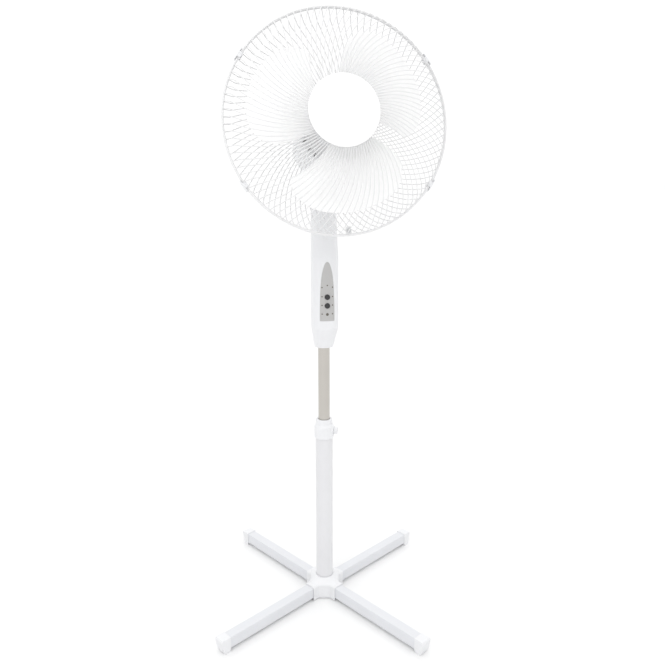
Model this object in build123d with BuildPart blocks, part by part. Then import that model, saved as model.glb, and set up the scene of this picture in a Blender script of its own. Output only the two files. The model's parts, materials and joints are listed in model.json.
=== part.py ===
"""Pedestal fan on a cross base, with a telescopic pole and a tilting, oscillating head."""
import os
from math import atan2, cos, degrees, radians, sin

from build123d import *

os.makedirs("parts", exist_ok=True)

# Driving dimensions, in millimetres and degrees.
# The floor is Z = 0, the pole stands on the Z axis and the fan blows towards -Y.

# Cross base
base_span = 600.0
cross_angle = 33.9
bar_width = 23.0
bar_height = 26.0
bar_wall = 1.5
bar_corner = 2.5
foot_height = 6.0
lap_clearance = 0.3
cap_wall = 1.2
cap_length = 22.0
cap_plug_length = 18.0
cap_slope = 5.0
hub_across = 66.0
hub_wall_height = 34.0
hub_dome_height = 13.0
hub_floor_gap = 1.5
hub_sleeve_wall = 2.4
hub_sleeve_reach = 47.0
base_bolt_radius = 5.0
base_bolt_head = 8.5
base_bolt_head_height = 5.0
base_bolt_length = 54.0

# Pole
outer_tube_radius = 19.0
outer_tube_wall = 1.2
outer_tube_top = 399.0
inner_tube_radius = 12.5
inner_tube_wall = 1.0
inner_tube_bottom = 235.0
inner_tube_top = 870.0
sliding_clearance = 0.05
part_clearance = 0.3
guide_length = 22.0
bush_length = 68.0
collar_bottom = 387.6
collar_height = 43.7
collar_radius = 21.6
collar_neck_radius = 18.2
collar_body_height = 29.0
knob_angle = -27.6
knob_radius = 7.5
knob_thickness = 6.5
knob_stud_radius = 3.0

# Control housing
housing_bottom = 595.4
housing_top = 895.0
housing_width = 53.0
housing_depth = 68.0
housing_centre = -10.0
housing_corner = 22.0
housing_wall = 2.4
housing_split = -2.0
panel_bottom = 660.0
panel_top = 782.0
panel_width = 30.4
panel_thickness = 1.4
button_radius = 5.6
button_heights = (710.0, 692.0)
button_travel = 1.5
button_stand_out = 2.0
lens_radius = 1.4
lens_side = 10.8
board_width = 26.0
board_thickness = 1.6

# Tilting neck
tilt_height = 925.0
rest_tilt = 12.7
tongue_width = 20.0
cheek_thickness = 7.0
cheek_clearance = 0.4
pivot_boss_radius = 15.0
tilt_bolt_radius = 4.0
platform_radius = 23.0
platform_height = 19.0
post_radius = 5.0

# Fan head, measured along the fan's own axis from the swivel post
axis_height = 84.4
rim_forward = 168.4
guard_radius = 200.0
rim_wire = 2.0
guard_wire = 0.9
wire_count = 48
wire_swirl = 27.0
front_depth = 62.0
rear_depth = 60.0
front_ring_radius = 55.0
rear_ring_radius = 47.0
badge_radius = 61.5
badge_rise = 5.0
blade_tip = 162.0
blade_hub_radius = 36.0
blade_hub_depth = 40.0
blade_thickness = 2.2
blade_forward = 184.0
blade_pitch = 12.0
shaft_radius = 4.0
motor_radius = 50.0
motor_cover_radius = 57.0
motor_cover_wall = 2.2
motor_front = 103.0
motor_back = -52.0
cover_split = 58.0


def save(piece, label):
    piece.label = label
    export_step(piece, f"parts/{label}.step")


# Levels and lengths that follow from the driving dimensions
bar_middle = foot_height + bar_height / 2
bar_top = foot_height + bar_height
cap_nose = cap_slope + 3
bar_length = base_span - 2 * cap_nose - 0.4
outer_tube_bottom = bar_top + sliding_clearance
outer_tube_bore = outer_tube_radius - outer_tube_wall
cross_plane = Plane.XY.rotated((0, 0, cross_angle))

# Cross base: two box tubes, half lapped where they cross
for index, label in enumerate(("cross_bar_lower", "cross_bar_upper")):
    along = cross_plane.x_dir.rotate(Axis.Z, 90 * index)
    start = Vector(0, 0, bar_middle) - along * (bar_length / 2)
    bar_plane = Plane(start, x_dir=along.rotate(Axis.Z, 90), z_dir=along)
    lap_start = foot_height - 1 if index else bar_middle
    with BuildPart() as bar:
        with BuildSketch(bar_plane):
            RectangleRounded(bar_width, bar_height, bar_corner)
            inner = (bar_width - 2 * bar_wall, bar_height - 2 * bar_wall)
            RectangleRounded(*inner, bar_corner - bar_wall / 2, mode=Mode.SUBTRACT)
        extrude(amount=bar_length)
        with BuildSketch(cross_plane.offset(lap_start - lap_clearance / 2)):
            notch = bar_width + 2 * lap_clearance
            Rectangle(notch, notch, rotation=90 * index)
            if not index:
                Rectangle(notch, bar_width + 2)
            else:
                Rectangle(bar_width + 2, notch)
        extrude(amount=bar_height / 2 + 1 + lap_clearance / 2, mode=Mode.SUBTRACT)
        with BuildSketch(Plane.XY):
            Circle(base_bolt_radius + part_clearance)
        extrude(amount=bar_top + 1, mode=Mode.SUBTRACT)
    save(bar.part, label)

# End caps with their plugs and foot pads
for index in range(4):
    along = cross_plane.x_dir.rotate(Axis.Z, 90 * index)
    side_plane = Plane(Vector(0, 0, 0), x_dir=along, z_dir=along.rotate(Axis.Z, -90))
    tip = base_span / 2
    cap_start = tip - cap_length
    cap_half = bar_width / 2 + cap_wall
    with BuildPart() as cap:
        with BuildSketch(side_plane):
            with BuildLine():
                Polyline(
                    (cap_start, foot_height - cap_wall),
                    (cap_start + 3, 0),
                    (tip - cap_slope - 3, 0),
                    (tip - cap_slope, 3),
                    (tip, bar_top - 3),
                    (tip - 2, bar_top + cap_wall),
                    (cap_start, bar_top + cap_wall),
                    close=True,
                )
            make_face()
        extrude(amount=cap_half, both=True)
        long_edges = cap.edges().filter_by(lambda e: abs(e.tangent_at(0.5).dot(along)) > 0.9)
        fillet(long_edges.group_by(Axis.Z)[-1], 2)
        cap_mouth = along * cap_start + Vector(0, 0, bar_middle)
        mouth = Plane(cap_mouth, x_dir=along.rotate(Axis.Z, 90), z_dir=along)
        with BuildSketch(mouth):
            room = sliding_clearance
            RectangleRounded(bar_width + 2 * room, bar_height + 2 * room, bar_corner)
        extrude(amount=cap_length - cap_nose, mode=Mode.SUBTRACT)
        plug_half = bar_width / 2 - bar_wall - sliding_clearance
        plug_rise = bar_height / 2 - bar_wall - sliding_clearance
        plug_start = tip - cap_nose - cap_plug_length
        plug_plane = Plane(along * plug_start + Vector(0, 0, bar_middle), x_dir=mouth.x_dir, z_dir=along)
        with BuildSketch(plug_plane):
            RectangleRounded(2 * plug_half, 2 * plug_rise, bar_corner - bar_wall / 2)
            RectangleRounded(2 * plug_half - 4, 2 * plug_rise - 4, 1, mode=Mode.SUBTRACT)
        extrude(amount=cap_plug_length + 2)
    save(cap.part, f"end_cap_{index + 1}")

# Hub cover: a square moulding with its flats between the legs, domed up to the pole
hub_plane = cross_plane.rotated((0, 0, 45))
hub_top = hub_wall_height + hub_dome_height
sleeve_half = bar_width / 2 + hub_sleeve_wall
with BuildPart() as hub:
    with BuildSketch(hub_plane.offset(hub_floor_gap)):
        RectangleRounded(hub_across, hub_across, 6)
    extrude(amount=hub_wall_height - hub_floor_gap)
    with BuildSketch(hub_plane.offset(hub_wall_height)):
        RectangleRounded(hub_across, hub_across, 6)
    with BuildSketch(hub_plane.offset(hub_top)):
        Circle(outer_tube_radius + 3.5)
    loft()
    for index in range(4):
        along = cross_plane.x_dir.rotate(Axis.Z, 90 * index)
        sleeve_plane = Plane(Vector(0, 0, 0), x_dir=along.rotate(Axis.Z, 90), z_dir=along)
        with BuildSketch(sleeve_plane.offset(10)):
            with BuildLine():
                Polyline(
                    (-sleeve_half, hub_floor_gap),
                    (sleeve_half, hub_floor_gap),
                    (sleeve_half, bar_top),
                    (sleeve_half - 3, bar_top + hub_sleeve_wall),
                    (3 - sleeve_half, bar_top + hub_sleeve_wall),
                    (-sleeve_half, bar_top),
                    close=True,
                )
            make_face()
        extrude(amount=hub_sleeve_reach - 10)
    with BuildSketch(cross_plane):
        channel = bar_width + 2 * part_clearance
        Rectangle(2 * hub_sleeve_reach + 2, channel)
        Rectangle(channel, 2 * hub_sleeve_reach + 2)
    extrude(amount=bar_top, mode=Mode.SUBTRACT)
    with BuildSketch(Plane.XY):
        Circle(outer_tube_radius + sliding_clearance)
    extrude(amount=hub_top + 1, mode=Mode.SUBTRACT)
save(hub.part, "hub_cover")

# Base bolt and the threaded plug inside the pole
bolt_seat = foot_height
with BuildPart() as bolt:
    with BuildSketch(Plane.XY.offset(bolt_seat - base_bolt_head_height)):
        RegularPolygon(base_bolt_head, 6, major_radius=False)
    extrude(amount=base_bolt_head_height)
    with BuildSketch(Plane.XY.offset(bolt_seat)):
        Circle(base_bolt_radius)
    extrude(amount=base_bolt_length)
    chamfer(bolt.faces().sort_by(Axis.Z)[-1].edges(), 0.8)
save(bolt.part, "base_bolt")

plug_top = outer_tube_bottom + 26
with BuildPart() as tube_plug:
    with BuildSketch(Plane.XY.offset(outer_tube_bottom)):
        Circle(outer_tube_bore)
        Circle(base_bolt_radius, mode=Mode.SUBTRACT)
    extrude(amount=plug_top - outer_tube_bottom)
save(tube_plug.part, "pole_plug")

with BuildPart() as outer_tube:
    with BuildSketch(Plane.XY.offset(outer_tube_bottom)):
        Circle(outer_tube_radius)
        Circle(outer_tube_bore, mode=Mode.SUBTRACT)
    extrude(amount=outer_tube_top - outer_tube_bottom)
save(outer_tube.part, "outer_tube")

# Height collar, its split bush and its clamp knob
collar_top = collar_bottom + collar_height
shoulder = collar_bottom + collar_body_height
bush_outer = inner_tube_radius + sliding_clearance + 2.2
bush_bottom = collar_top - 4 - bush_length
with BuildPart() as bush:
    with BuildSketch(Plane.XY.offset(bush_bottom)):
        Circle(bush_outer)
        Circle(inner_tube_radius + sliding_clearance, mode=Mode.SUBTRACT)
    extrude(amount=bush_length)
    with BuildSketch(Plane.XY.offset(bush_bottom)):
        Circle(outer_tube_bore - sliding_clearance)
        Circle(bush_outer - 0.5, mode=Mode.SUBTRACT)
    extrude(amount=outer_tube_top - bush_bottom - 2)
    with BuildSketch(Plane.XY.offset(outer_tube_top - 12)):
        Rectangle(2 * outer_tube_radius, 2, rotation=knob_angle + 90)
    extrude(amount=collar_top, mode=Mode.SUBTRACT)
save(bush.part, "collar_bush")

knob_out = Vector(cos(radians(knob_angle)), sin(radians(knob_angle)), 0)
knob_height = collar_bottom + collar_body_height / 2 + 3
knob_axis_plane = Plane(Vector(0, 0, knob_height), x_dir=(0, 0, 1), z_dir=knob_out)
with BuildPart() as collar:
    with BuildSketch(Plane.XZ):
        with BuildLine():
            Polyline(
                (outer_tube_radius + sliding_clearance, collar_bottom),
                (collar_radius - 1, collar_bottom),
                (collar_radius, collar_bottom + 1.5),
                (collar_radius, shoulder - 2),
                (collar_neck_radius, shoulder + 3),
                (collar_neck_radius, collar_top - 1.5),
                (collar_neck_radius - 1.5, collar_top),
                (inner_tube_radius + part_clearance, collar_top),
                (inner_tube_radius + part_clearance, collar_top - 3.5),
                (bush_outer + sliding_clearance, collar_top - 3.5),
                (bush_outer + sliding_clearance, outer_tube_top + 0.2),
                (outer_tube_radius + sliding_clearance, outer_tube_top + 0.2),
                close=True,
            )
        make_face()
    revolve(axis=Axis.Z)
    with BuildSketch(knob_axis_plane.offset(outer_tube_radius + 0.4)):
        Circle(knob_radius + 1.8)
    extrude(amount=collar_radius + 1.2 - outer_tube_radius)
    with BuildSketch(knob_axis_plane.offset(bush_outer - 4)):
        Circle(knob_stud_radius + sliding_clearance)
    extrude(amount=20, mode=Mode.SUBTRACT)
save(collar.part, "height_collar")

stud_start = bush_outer + 0.2
with BuildPart() as knob:
    with BuildSketch(knob_axis_plane.offset(collar_radius + 1.2 + 0.8)):
        Circle(knob_radius)
        with PolarLocations(knob_radius + 0.4, 12):
            Circle(0.9, mode=Mode.SUBTRACT)
    extrude(amount=knob_thickness)
    with BuildSketch(knob_axis_plane.offset(stud_start)):
        Circle(knob_stud_radius)
    extrude(amount=collar_radius + 3 - stud_start)
save(knob.part, "clamp_knob")

# Sliding pole with its guide
with BuildPart() as inner_tube:
    with BuildSketch(Plane.XY.offset(inner_tube_bottom)):
        Circle(inner_tube_radius)
        Circle(inner_tube_radius - inner_tube_wall, mode=Mode.SUBTRACT)
    extrude(amount=inner_tube_top - inner_tube_bottom)
save(inner_tube.part, "inner_tube")

with BuildPart() as guide:
    with BuildSketch(Plane.XY.offset(inner_tube_bottom)):
        Circle(outer_tube_bore - sliding_clearance)
        Circle(inner_tube_radius, mode=Mode.SUBTRACT)
    extrude(amount=guide_length)
    with BuildSketch(Plane.XY.offset(inner_tube_bottom - 3)):
        Circle(outer_tube_bore - sliding_clearance)
        Circle(inner_tube_radius - 3, mode=Mode.SUBTRACT)
    extrude(amount=3)
save(guide.part, "tube_guide")


# Control housing: one lofted form, hollowed and split into a front and a rear shell
def housing_levels(inset):
    low = housing_bottom + inset
    high = housing_top - inset
    wide = housing_width - 2 * inset
    deep = housing_depth - 2 * inset
    corner = housing_corner - inset
    return (
        (low, 39.0 - 2 * inset, 39.0 - 2 * inset, 0.0, 19.0 - inset),
        (606.0, 43.0 - 2 * inset, 46.0 - 2 * inset, -2.0, 20.0 - inset),
        (642.0, wide, deep, housing_centre, corner),
        (790.0, wide, deep - 2, housing_centre, corner),
        (835.0, wide - 2, deep - 8, housing_centre / 2, corner),
        (high, wide - 3, deep - 14, 0.0, corner),
    )


def housing_form(inset):
    with BuildPart() as form:
        for height, wide, deep, centre, corner in housing_levels(inset):
            with BuildSketch(Plane((0, centre, height))):
                RectangleRounded(wide, deep, corner)
        loft(ruled=True)
    return form.part


def panel_outline(margin):
    """A tall bullet shape, drawn through half widths given as shares of the full half width."""
    half = panel_width / 2 + margin
    tall = panel_top - panel_bottom
    edge = [(half, panel_bottom - margin)]
    for across, up in ((0.97, 0.33), (0.87, 0.6), (0.71, 0.79), (0.43, 0.93)):
        edge.append((across * half, panel_bottom + up * tall))
    edge.append((0, panel_top + margin))
    with BuildSketch(Plane.XZ) as outline:
        with BuildLine():
            Line((-half, panel_bottom - margin), (half, panel_bottom - margin))
            Spline(*edge, tangents=((0, 1), (-1, 0.15)))
            Spline(*[(-across, up) for across, up in edge], tangents=((0, 1), (1, 0.15)))
        make_face()
    return outline.sketch


outer_form = housing_form(0)
panel_seat = housing_form(panel_thickness + 0.05)
inner_form = housing_form(housing_wall)
with BuildPart() as panel_column:
    extrude(panel_outline(0), amount=housing_depth, dir=(0, -1, 0))
with BuildPart() as panel_recess:
    extrude(panel_outline(0.15), amount=housing_depth, dir=(0, -1, 0))

# Places along the panel where something passes through it
lens_spots = [(side * lens_side, level) for side in (-1, 1) for level in (730, 711, 693, 675)]
lens_spots = lens_spots + [(0, 734)]
receiver_level = 674.0
front_face = housing_centre - housing_depth / 2


def drill(spots, radius):
    with BuildSketch(Plane.XZ.offset(-housing_split + 4)) as pattern:
        with Locations(*spots):
            Circle(radius)
    extrude(pattern.sketch, amount=housing_depth, dir=(0, -1, 0), mode=Mode.SUBTRACT)


button_spots = [(0, level) for level in button_heights]
hole_radius = button_radius + 0.1
with BuildPart() as panel:
    add(outer_form)
    add(panel_column.part, mode=Mode.INTERSECT)
    add(panel_seat, mode=Mode.SUBTRACT)
    drill(button_spots, hole_radius)
    drill(lens_spots, lens_radius + 0.05)
    drill([(0, receiver_level)], 3.05)
save(panel.part, "control_panel")

with BuildPart() as pocket:
    add(outer_form)
    add(panel_recess.part, mode=Mode.INTERSECT)
    add(panel_seat, mode=Mode.SUBTRACT)

with BuildPart() as shell:
    add(outer_form)
    add(inner_form, mode=Mode.SUBTRACT)
    add(pocket.part, mode=Mode.SUBTRACT)
    drill(button_spots, hole_radius)
    drill(lens_spots, lens_radius + 0.05)
    drill([(0, receiver_level)], 3.05)
    with BuildSketch(Plane.XY.offset(housing_bottom - 1)):
        Circle(inner_tube_radius + sliding_clearance)
    extrude(amount=6, mode=Mode.SUBTRACT)
    with BuildSketch(Plane.XY.offset(housing_top - 5)):
        Circle(inner_tube_radius + 4.6)
    extrude(amount=8, mode=Mode.SUBTRACT)

rear_side = Plane.XZ.offset(-housing_split)
screw_spots = [(side * 19.5, level) for side in (-1, 1) for level in (652.0, 805.0)]
screw_boss = 4.2
screw_head = 3.0
screw_head_depth = 8.0
screw_radius = 1.5
screw_length = 22.0
with BuildPart() as housing_front:
    add(shell.part)
    split(bisect_by=rear_side, keep=Keep.TOP)
    with BuildSketch(rear_side):
        with Locations(*screw_spots):
            Circle(screw_boss)
            Circle(screw_radius, mode=Mode.SUBTRACT)
    extrude(amount=housing_depth)
    add(outer_form, mode=Mode.INTERSECT)
save(housing_front.part, "housing_front")

grommet_level = 640.0
grommet_radius = 6.0
with BuildPart() as housing_rear:
    add(shell.part)
    split(bisect_by=rear_side, keep=Keep.BOTTOM)
    with BuildSketch(rear_side):
        with Locations(*screw_spots):
            Circle(screw_boss)
    extrude(amount=-housing_depth)
    add(outer_form, mode=Mode.INTERSECT)
    with BuildSketch(rear_side):
        with Locations(*screw_spots):
            Circle(screw_radius)
    extrude(amount=-housing_depth, mode=Mode.SUBTRACT)
    with BuildSketch(rear_side.offset(-screw_head_depth)):
        with Locations(*screw_spots):
            Circle(screw_head + part_clearance)
    extrude(amount=-housing_depth, mode=Mode.SUBTRACT)
    with BuildSketch(Plane.XZ):
        with Locations((0, grommet_level)):
            Circle(grommet_radius)
    extrude(amount=-housing_depth, mode=Mode.SUBTRACT)
save(housing_rear.part, "housing_rear")

# Buttons, board, lenses and receiver window
with BuildPart() as board:
    board_back = Plane.XZ.offset(20)
    with BuildSketch(board_back):
        with Locations((0, 700)):
            Rectangle(board_width, 84)
    extrude(amount=board_thickness)
save(board.part, "control_board")
board_front = 20 + board_thickness

with BuildPart() as switches:
    with BuildSketch(Plane.XZ.offset(board_front)):
        with Locations(*button_spots):
            RectangleRounded(6, 6, 0.6)
    extrude(amount=3.5)
    with BuildSketch(Plane.XZ.offset(board_front + 3.5)):
        with Locations(*button_spots):
            Circle(1.7)
    extrude(amount=1)
save(switches.part, "tact_switches")

button_face = -front_face + button_stand_out
button_back = board_front + 4.5 + button_travel + 0.2
for label, level in zip(("button_upper", "button_lower"), button_heights):
    with BuildPart() as button:
        with BuildSketch(Plane.XZ.offset(button_back)):
            with Locations((0, level)):
                Circle(2.5)
        extrude(amount=button_face - button_back - 3)
        flange_depth = -front_face - housing_wall - 2.1
        with BuildSketch(Plane.XZ.offset(flange_depth)):
            with Locations((0, level)):
                Circle(button_radius + 1.2)
        extrude(amount=1.2)
        with BuildSketch(Plane.XZ.offset(flange_depth)):
            with Locations((0, level)):
                Circle(button_radius)
        extrude(amount=button_face - flange_depth)
        fillet(button.faces().sort_by(Axis.Y)[0].edges(), 1)
    save(button.part, label)

with BuildPart() as lenses:
    with BuildSketch(Plane.XZ.offset(board_front + 0.2)):
        with Locations(*lens_spots):
            Circle(lens_radius)
    extrude(amount=housing_depth)
    add(outer_form, mode=Mode.INTERSECT)
save(lenses.part, "indicator_lenses")

with BuildPart() as window:
    with BuildSketch(Plane.XZ.offset(board_front + 6)):
        with Locations((0, receiver_level)):
            Circle(3)
    extrude(amount=housing_depth)
    add(outer_form, mode=Mode.INTERSECT)
save(window.part, "receiver_window")

# Screws that close the housing, let in from behind, and the cord grommet
rear_face = housing_depth + front_face
with BuildPart() as screws:
    with BuildSketch(rear_side.offset(-screw_head_depth - 2)):
        with Locations(*screw_spots):
            Circle(screw_head)
    extrude(amount=2)
    with BuildSketch(rear_side.offset(-screw_head_depth)):
        with Locations(*screw_spots):
            Circle(screw_radius)
    extrude(amount=screw_length)
save(screws.part, "housing_screws")

with BuildPart() as grommet:
    with BuildSketch(Plane.XZ.offset(-rear_face - 2)):
        with Locations((0, grommet_level)):
            Circle(grommet_radius + 2)
            Circle(3.5, mode=Mode.SUBTRACT)
    extrude(amount=6)
    add(outer_form, mode=Mode.SUBTRACT)
    with BuildSketch(Plane.XZ.offset(-rear_face - 1)):
        with Locations((0, grommet_level)):
            Circle(grommet_radius)
            Circle(3.5, mode=Mode.SUBTRACT)
    extrude(amount=5)
save(grommet.part, "cord_grommet")

# Neck bracket on top of the sliding pole, with the two cheeks of the tilt hinge
cheek_inside = tongue_width / 2 + cheek_clearance
cheek_outside = cheek_inside + cheek_thickness
neck_radius = inner_tube_radius + 4.4
neck_flange = housing_top + part_clearance
across = Plane.YZ
with BuildPart() as neck:
    with BuildSketch(Plane.XY.offset(inner_tube_top - 40)):
        Circle(neck_radius)
        Circle(inner_tube_radius, mode=Mode.SUBTRACT)
    extrude(amount=40)
    with BuildSketch(Plane.XY.offset(inner_tube_top)):
        Circle(neck_radius)
    extrude(amount=neck_flange - inner_tube_top)
    with BuildSketch(Plane.XY.offset(neck_flange)):
        Circle(neck_radius + 5)
    extrude(amount=5)
    chamfer(neck.faces().sort_by(Axis.Z)[-1].edges(), 1)
    for side in (-1, 1):
        inside = cheek_inside if side > 0 else -cheek_outside
        with BuildSketch(across.offset(inside)):
            with Locations((0, tilt_height)):
                Circle(pivot_boss_radius)
            with Locations((0, (tilt_height + neck_flange) / 2 + 2)):
                Rectangle(2 * pivot_boss_radius, tilt_height - neck_flange - 4)
        extrude(amount=cheek_thickness)
    with BuildSketch(across.offset(-cheek_outside - 1)):
        with Locations((0, tilt_height)):
            Circle(tilt_bolt_radius + sliding_clearance)
    extrude(amount=2 * cheek_outside + 2, mode=Mode.SUBTRACT)
save(neck.part, "neck_bracket")

with BuildPart() as tilt_nut:
    with BuildSketch(across.offset(-cheek_outside - 6.2)):
        with Locations((0, tilt_height)):
            RegularPolygon(6.5, 6, major_radius=False)
            Circle(tilt_bolt_radius, mode=Mode.SUBTRACT)
    extrude(amount=6)
save(tilt_nut.part, "tilt_nut")

with BuildPart() as tilt_knob:
    with BuildSketch(across.offset(-cheek_outside - 8)):
        with Locations((0, tilt_height)):
            Circle(tilt_bolt_radius - sliding_clearance / 2)
    extrude(amount=2 * cheek_outside + 9)
    with BuildSketch(across.offset(cheek_outside + 0.4)):
        with Locations((0, tilt_height)):
            Circle(11)
            with PolarLocations(11.8, 10):
                Circle(1.8, mode=Mode.SUBTRACT)
    extrude(amount=11)
    fillet(tilt_knob.faces().sort_by(Axis.X)[-1].edges(), 0.8)
save(tilt_knob.part, "tilt_knob")

# Everything above the tilt bolt is drawn on planes that lean back with the head
lean = radians(rest_tilt)
up = Vector(0, sin(lean), cos(lean))
ahead = Vector(0, -cos(lean), sin(lean))
tilt_point = Vector(0, 0, tilt_height)
head_plane = Plane(tilt_point, x_dir=(1, 0, 0), z_dir=up)
fan_plane = Plane(tilt_point + up * axis_height, x_dir=(1, 0, 0), z_dir=ahead)
fan_axis = Axis(fan_plane.origin, ahead)
profile_plane = Plane(fan_plane.origin, x_dir=(1, 0, 0), z_dir=up * -1)
swivel_axis = Axis(tilt_point, up)

# Crank linkage that swings the head: places on head_plane, where -Y is ahead
crank_spot = (16.0, 24.0)
crank_throw = 9.4
eye_spot = (-6.2, 14.3)
crank_angle = 113.6
crank_pin_spot = (
    crank_spot[0] + crank_throw * cos(radians(crank_angle)),
    crank_spot[1] + crank_throw * sin(radians(crank_angle)),
)
link_level = 39.0
link_thickness = 3.0
crank_pin_radius = 2.0
eye_pin_radius = 1.5
eye_hole_radius = 4.0
socket_bottom = platform_height + 5.0
socket_top = 60.0
case_bottom = 60.0
case_top = 106.0

with BuildPart() as tilt_arm:
    with BuildSketch(Plane(tilt_point, x_dir=head_plane.y_dir, z_dir=(1, 0, 0))):
        Circle(pivot_boss_radius)
        with Locations((0, platform_height / 2)):
            Rectangle(2 * pivot_boss_radius, platform_height)
    extrude(amount=tongue_width / 2, both=True)
    with BuildSketch(head_plane.offset(platform_height)):
        Circle(platform_radius)
    extrude(amount=4)
    chamfer(tilt_arm.faces().sort_by(swivel_axis)[-1].edges(), 1)
    with BuildSketch(head_plane.offset(platform_height)):
        Circle(post_radius)
        with Locations(eye_spot):
            Circle(eye_pin_radius)
    extrude(amount=link_level + link_thickness + 1 - platform_height)
    with BuildSketch(head_plane.offset(platform_height)):
        Circle(post_radius)
    extrude(amount=socket_top - 6 - platform_height)
    with BuildSketch(Plane(tilt_point - Vector(20, 0, 0), x_dir=(0, 1, 0), z_dir=(1, 0, 0))):
        Circle(tilt_bolt_radius + sliding_clearance)
    extrude(amount=40, mode=Mode.SUBTRACT)
save(tilt_arm.part, "tilt_arm")


def turn(*points, mode=Mode.ADD):
    """Revolve a closed outline of (radius, distance ahead) about the fan's axis."""
    with BuildSketch(profile_plane) as outline:
        with BuildLine():
            Polyline(*points, close=True)
        make_face()
    revolve(outline.sketch, axis=fan_axis, mode=mode)


def bar_on(plane, depth, shape, mode=Mode.ADD):
    """Extrude a ready sketch from a plane by a depth."""
    extrude(shape, amount=depth, dir=plane.z_dir, mode=mode)


def ring_of(count, radius, turned=0.0):
    return PolarLocations(radius, count, start_angle=turned)


# Gear case: a tray that turns on the post, and its lid
case_width = (-15.0, 32.0)
case_span = (-12.0, 42.0)
case_centre = (sum(case_width) / 2, sum(case_span) / 2)
case_size = (case_width[1] - case_width[0], case_span[1] - case_span[0])
case_wall = 2.5
lid_level = case_top - 3
with BuildPart() as gear_case:
    with BuildSketch(head_plane.offset(case_bottom)):
        with Locations(case_centre):
            RectangleRounded(*case_size, 4)
    extrude(amount=lid_level - case_bottom)
    with BuildSketch(head_plane.offset(case_bottom + case_wall)):
        with Locations(case_centre):
            RectangleRounded(case_size[0] - 2 * case_wall, case_size[1] - 2 * case_wall, 2)
    extrude(amount=lid_level, mode=Mode.SUBTRACT)
    with BuildSketch(head_plane.offset(socket_bottom)):
        Circle(post_radius + 3.5)
    extrude(amount=case_bottom + 1 - socket_bottom)
    with BuildSketch(head_plane.offset(socket_bottom)):
        Circle(post_radius + sliding_clearance)
    extrude(amount=socket_top - 5 - socket_bottom, mode=Mode.SUBTRACT)
    with BuildSketch(head_plane.offset(case_bottom - 1)):
        with Locations(crank_spot):
            Circle(3 + sliding_clearance)
    extrude(amount=10, mode=Mode.SUBTRACT)
    with BuildSketch(fan_plane.offset(-2)):
        Circle(shaft_radius + part_clearance)
    extrude(amount=14, mode=Mode.SUBTRACT)
save(gear_case.part, "gear_case")

knob_stem_radius = 3.0
with BuildPart() as gear_lid:
    with BuildSketch(head_plane.offset(lid_level)):
        with Locations(case_centre):
            RectangleRounded(*case_size, 4)
        with Locations(crank_spot):
            Circle(knob_stem_radius + sliding_clearance, mode=Mode.SUBTRACT)
    extrude(amount=3)
save(gear_lid.part, "gear_lid")

# Worm wheel, its hollow hub and the crank below the case
wheel_teeth = 24
worm_radius = 5.0
wheel_tip = crank_spot[0] - worm_radius - 0.3
wheel_root = wheel_tip - 1.2
wheel_bottom = axis_height - 3.0
with BuildPart() as worm_wheel:
    with BuildSketch(head_plane.offset(wheel_bottom)):
        with Locations(crank_spot):
            Circle(wheel_root)
            with PolarLocations(wheel_root, wheel_teeth):
                Rectangle(2.4, 1.3)
            Circle(3 + sliding_clearance, mode=Mode.SUBTRACT)
    extrude(amount=6)
    with BuildSketch(head_plane.offset(case_bottom + case_wall + 3)):
        with Locations(crank_spot):
            Circle(5)
            Circle(3 + sliding_clearance, mode=Mode.SUBTRACT)
    extrude(amount=wheel_bottom - case_bottom - case_wall - 3)
save(worm_wheel.part, "worm_wheel")

crank_top = case_bottom - 1
spindle_top = wheel_bottom + 7
with BuildPart() as crank:
    with BuildSketch(head_plane.offset(crank_top - 4)):
        with Locations(crank_spot, crank_pin_spot):
            Circle(4)
        mid = ((crank_spot[0] + crank_pin_spot[0]) / 2, (crank_spot[1] + crank_pin_spot[1]) / 2)
        with Locations(mid):
            Rectangle(crank_throw, 8, rotation=crank_angle)
    extrude(amount=4)
    with BuildSketch(head_plane.offset(link_level - 0.5)):
        with Locations(crank_pin_spot):
            Circle(crank_pin_radius)
    extrude(amount=crank_top - 3 - link_level)
    with BuildSketch(head_plane.offset(crank_top - 1)):
        with Locations(crank_spot):
            Circle(3)
    extrude(amount=spindle_top - crank_top + 1)
save(crank.part, "crank")

reach = Vector(eye_spot[0] - crank_pin_spot[0], eye_spot[1] - crank_pin_spot[1])
link_middle = (crank_pin_spot[0] + reach.X / 2, crank_pin_spot[1] + reach.Y / 2)
with BuildPart() as link:
    with BuildSketch(head_plane.offset(link_level)):
        with Locations(link_middle):
            Rectangle(reach.length, 7, rotation=degrees(atan2(reach.Y, reach.X)))
        with Locations(crank_pin_spot):
            Circle(4.5)
        with Locations(eye_spot):
            Circle(eye_hole_radius + 1.6)
            Circle(eye_hole_radius, mode=Mode.SUBTRACT)
        with Locations(crank_pin_spot):
            Circle(crank_pin_radius + sliding_clearance, mode=Mode.SUBTRACT)
    extrude(amount=link_thickness)
save(link.part, "crank_link")

# Swing knob: pulled up it frees the crank, pushed down it drives it
knob_seat = axis_height + motor_cover_radius + 0.6
with BuildPart() as swing_knob:
    with BuildSketch(head_plane.offset(spindle_top + 0.4)):
        with Locations(crank_spot):
            Circle(knob_stem_radius)
    extrude(amount=knob_seat - spindle_top)
    with BuildSketch(head_plane.offset(knob_seat)):
        with Locations(crank_spot):
            Circle(8)
    extrude(amount=11, taper=6)
    fillet(swing_knob.edges().filter_by(GeomType.CIRCLE).sort_by(swivel_axis)[-1], 1.5)
save(swing_knob.part, "swing_knob")

# Motor: two end frames, stator, windings, bearings and through bolts
stack_back = 30.0
stack_front = 62.0
frame_reach = 18.0
frame_wall = 2.5
bearing_radius = 9.0
bolt_circle = motor_radius - 5.5
bolt_radius = 2.0
rotor_radius = 24.0
air_gap = 0.5
bolt_turn = 45.0


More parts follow.
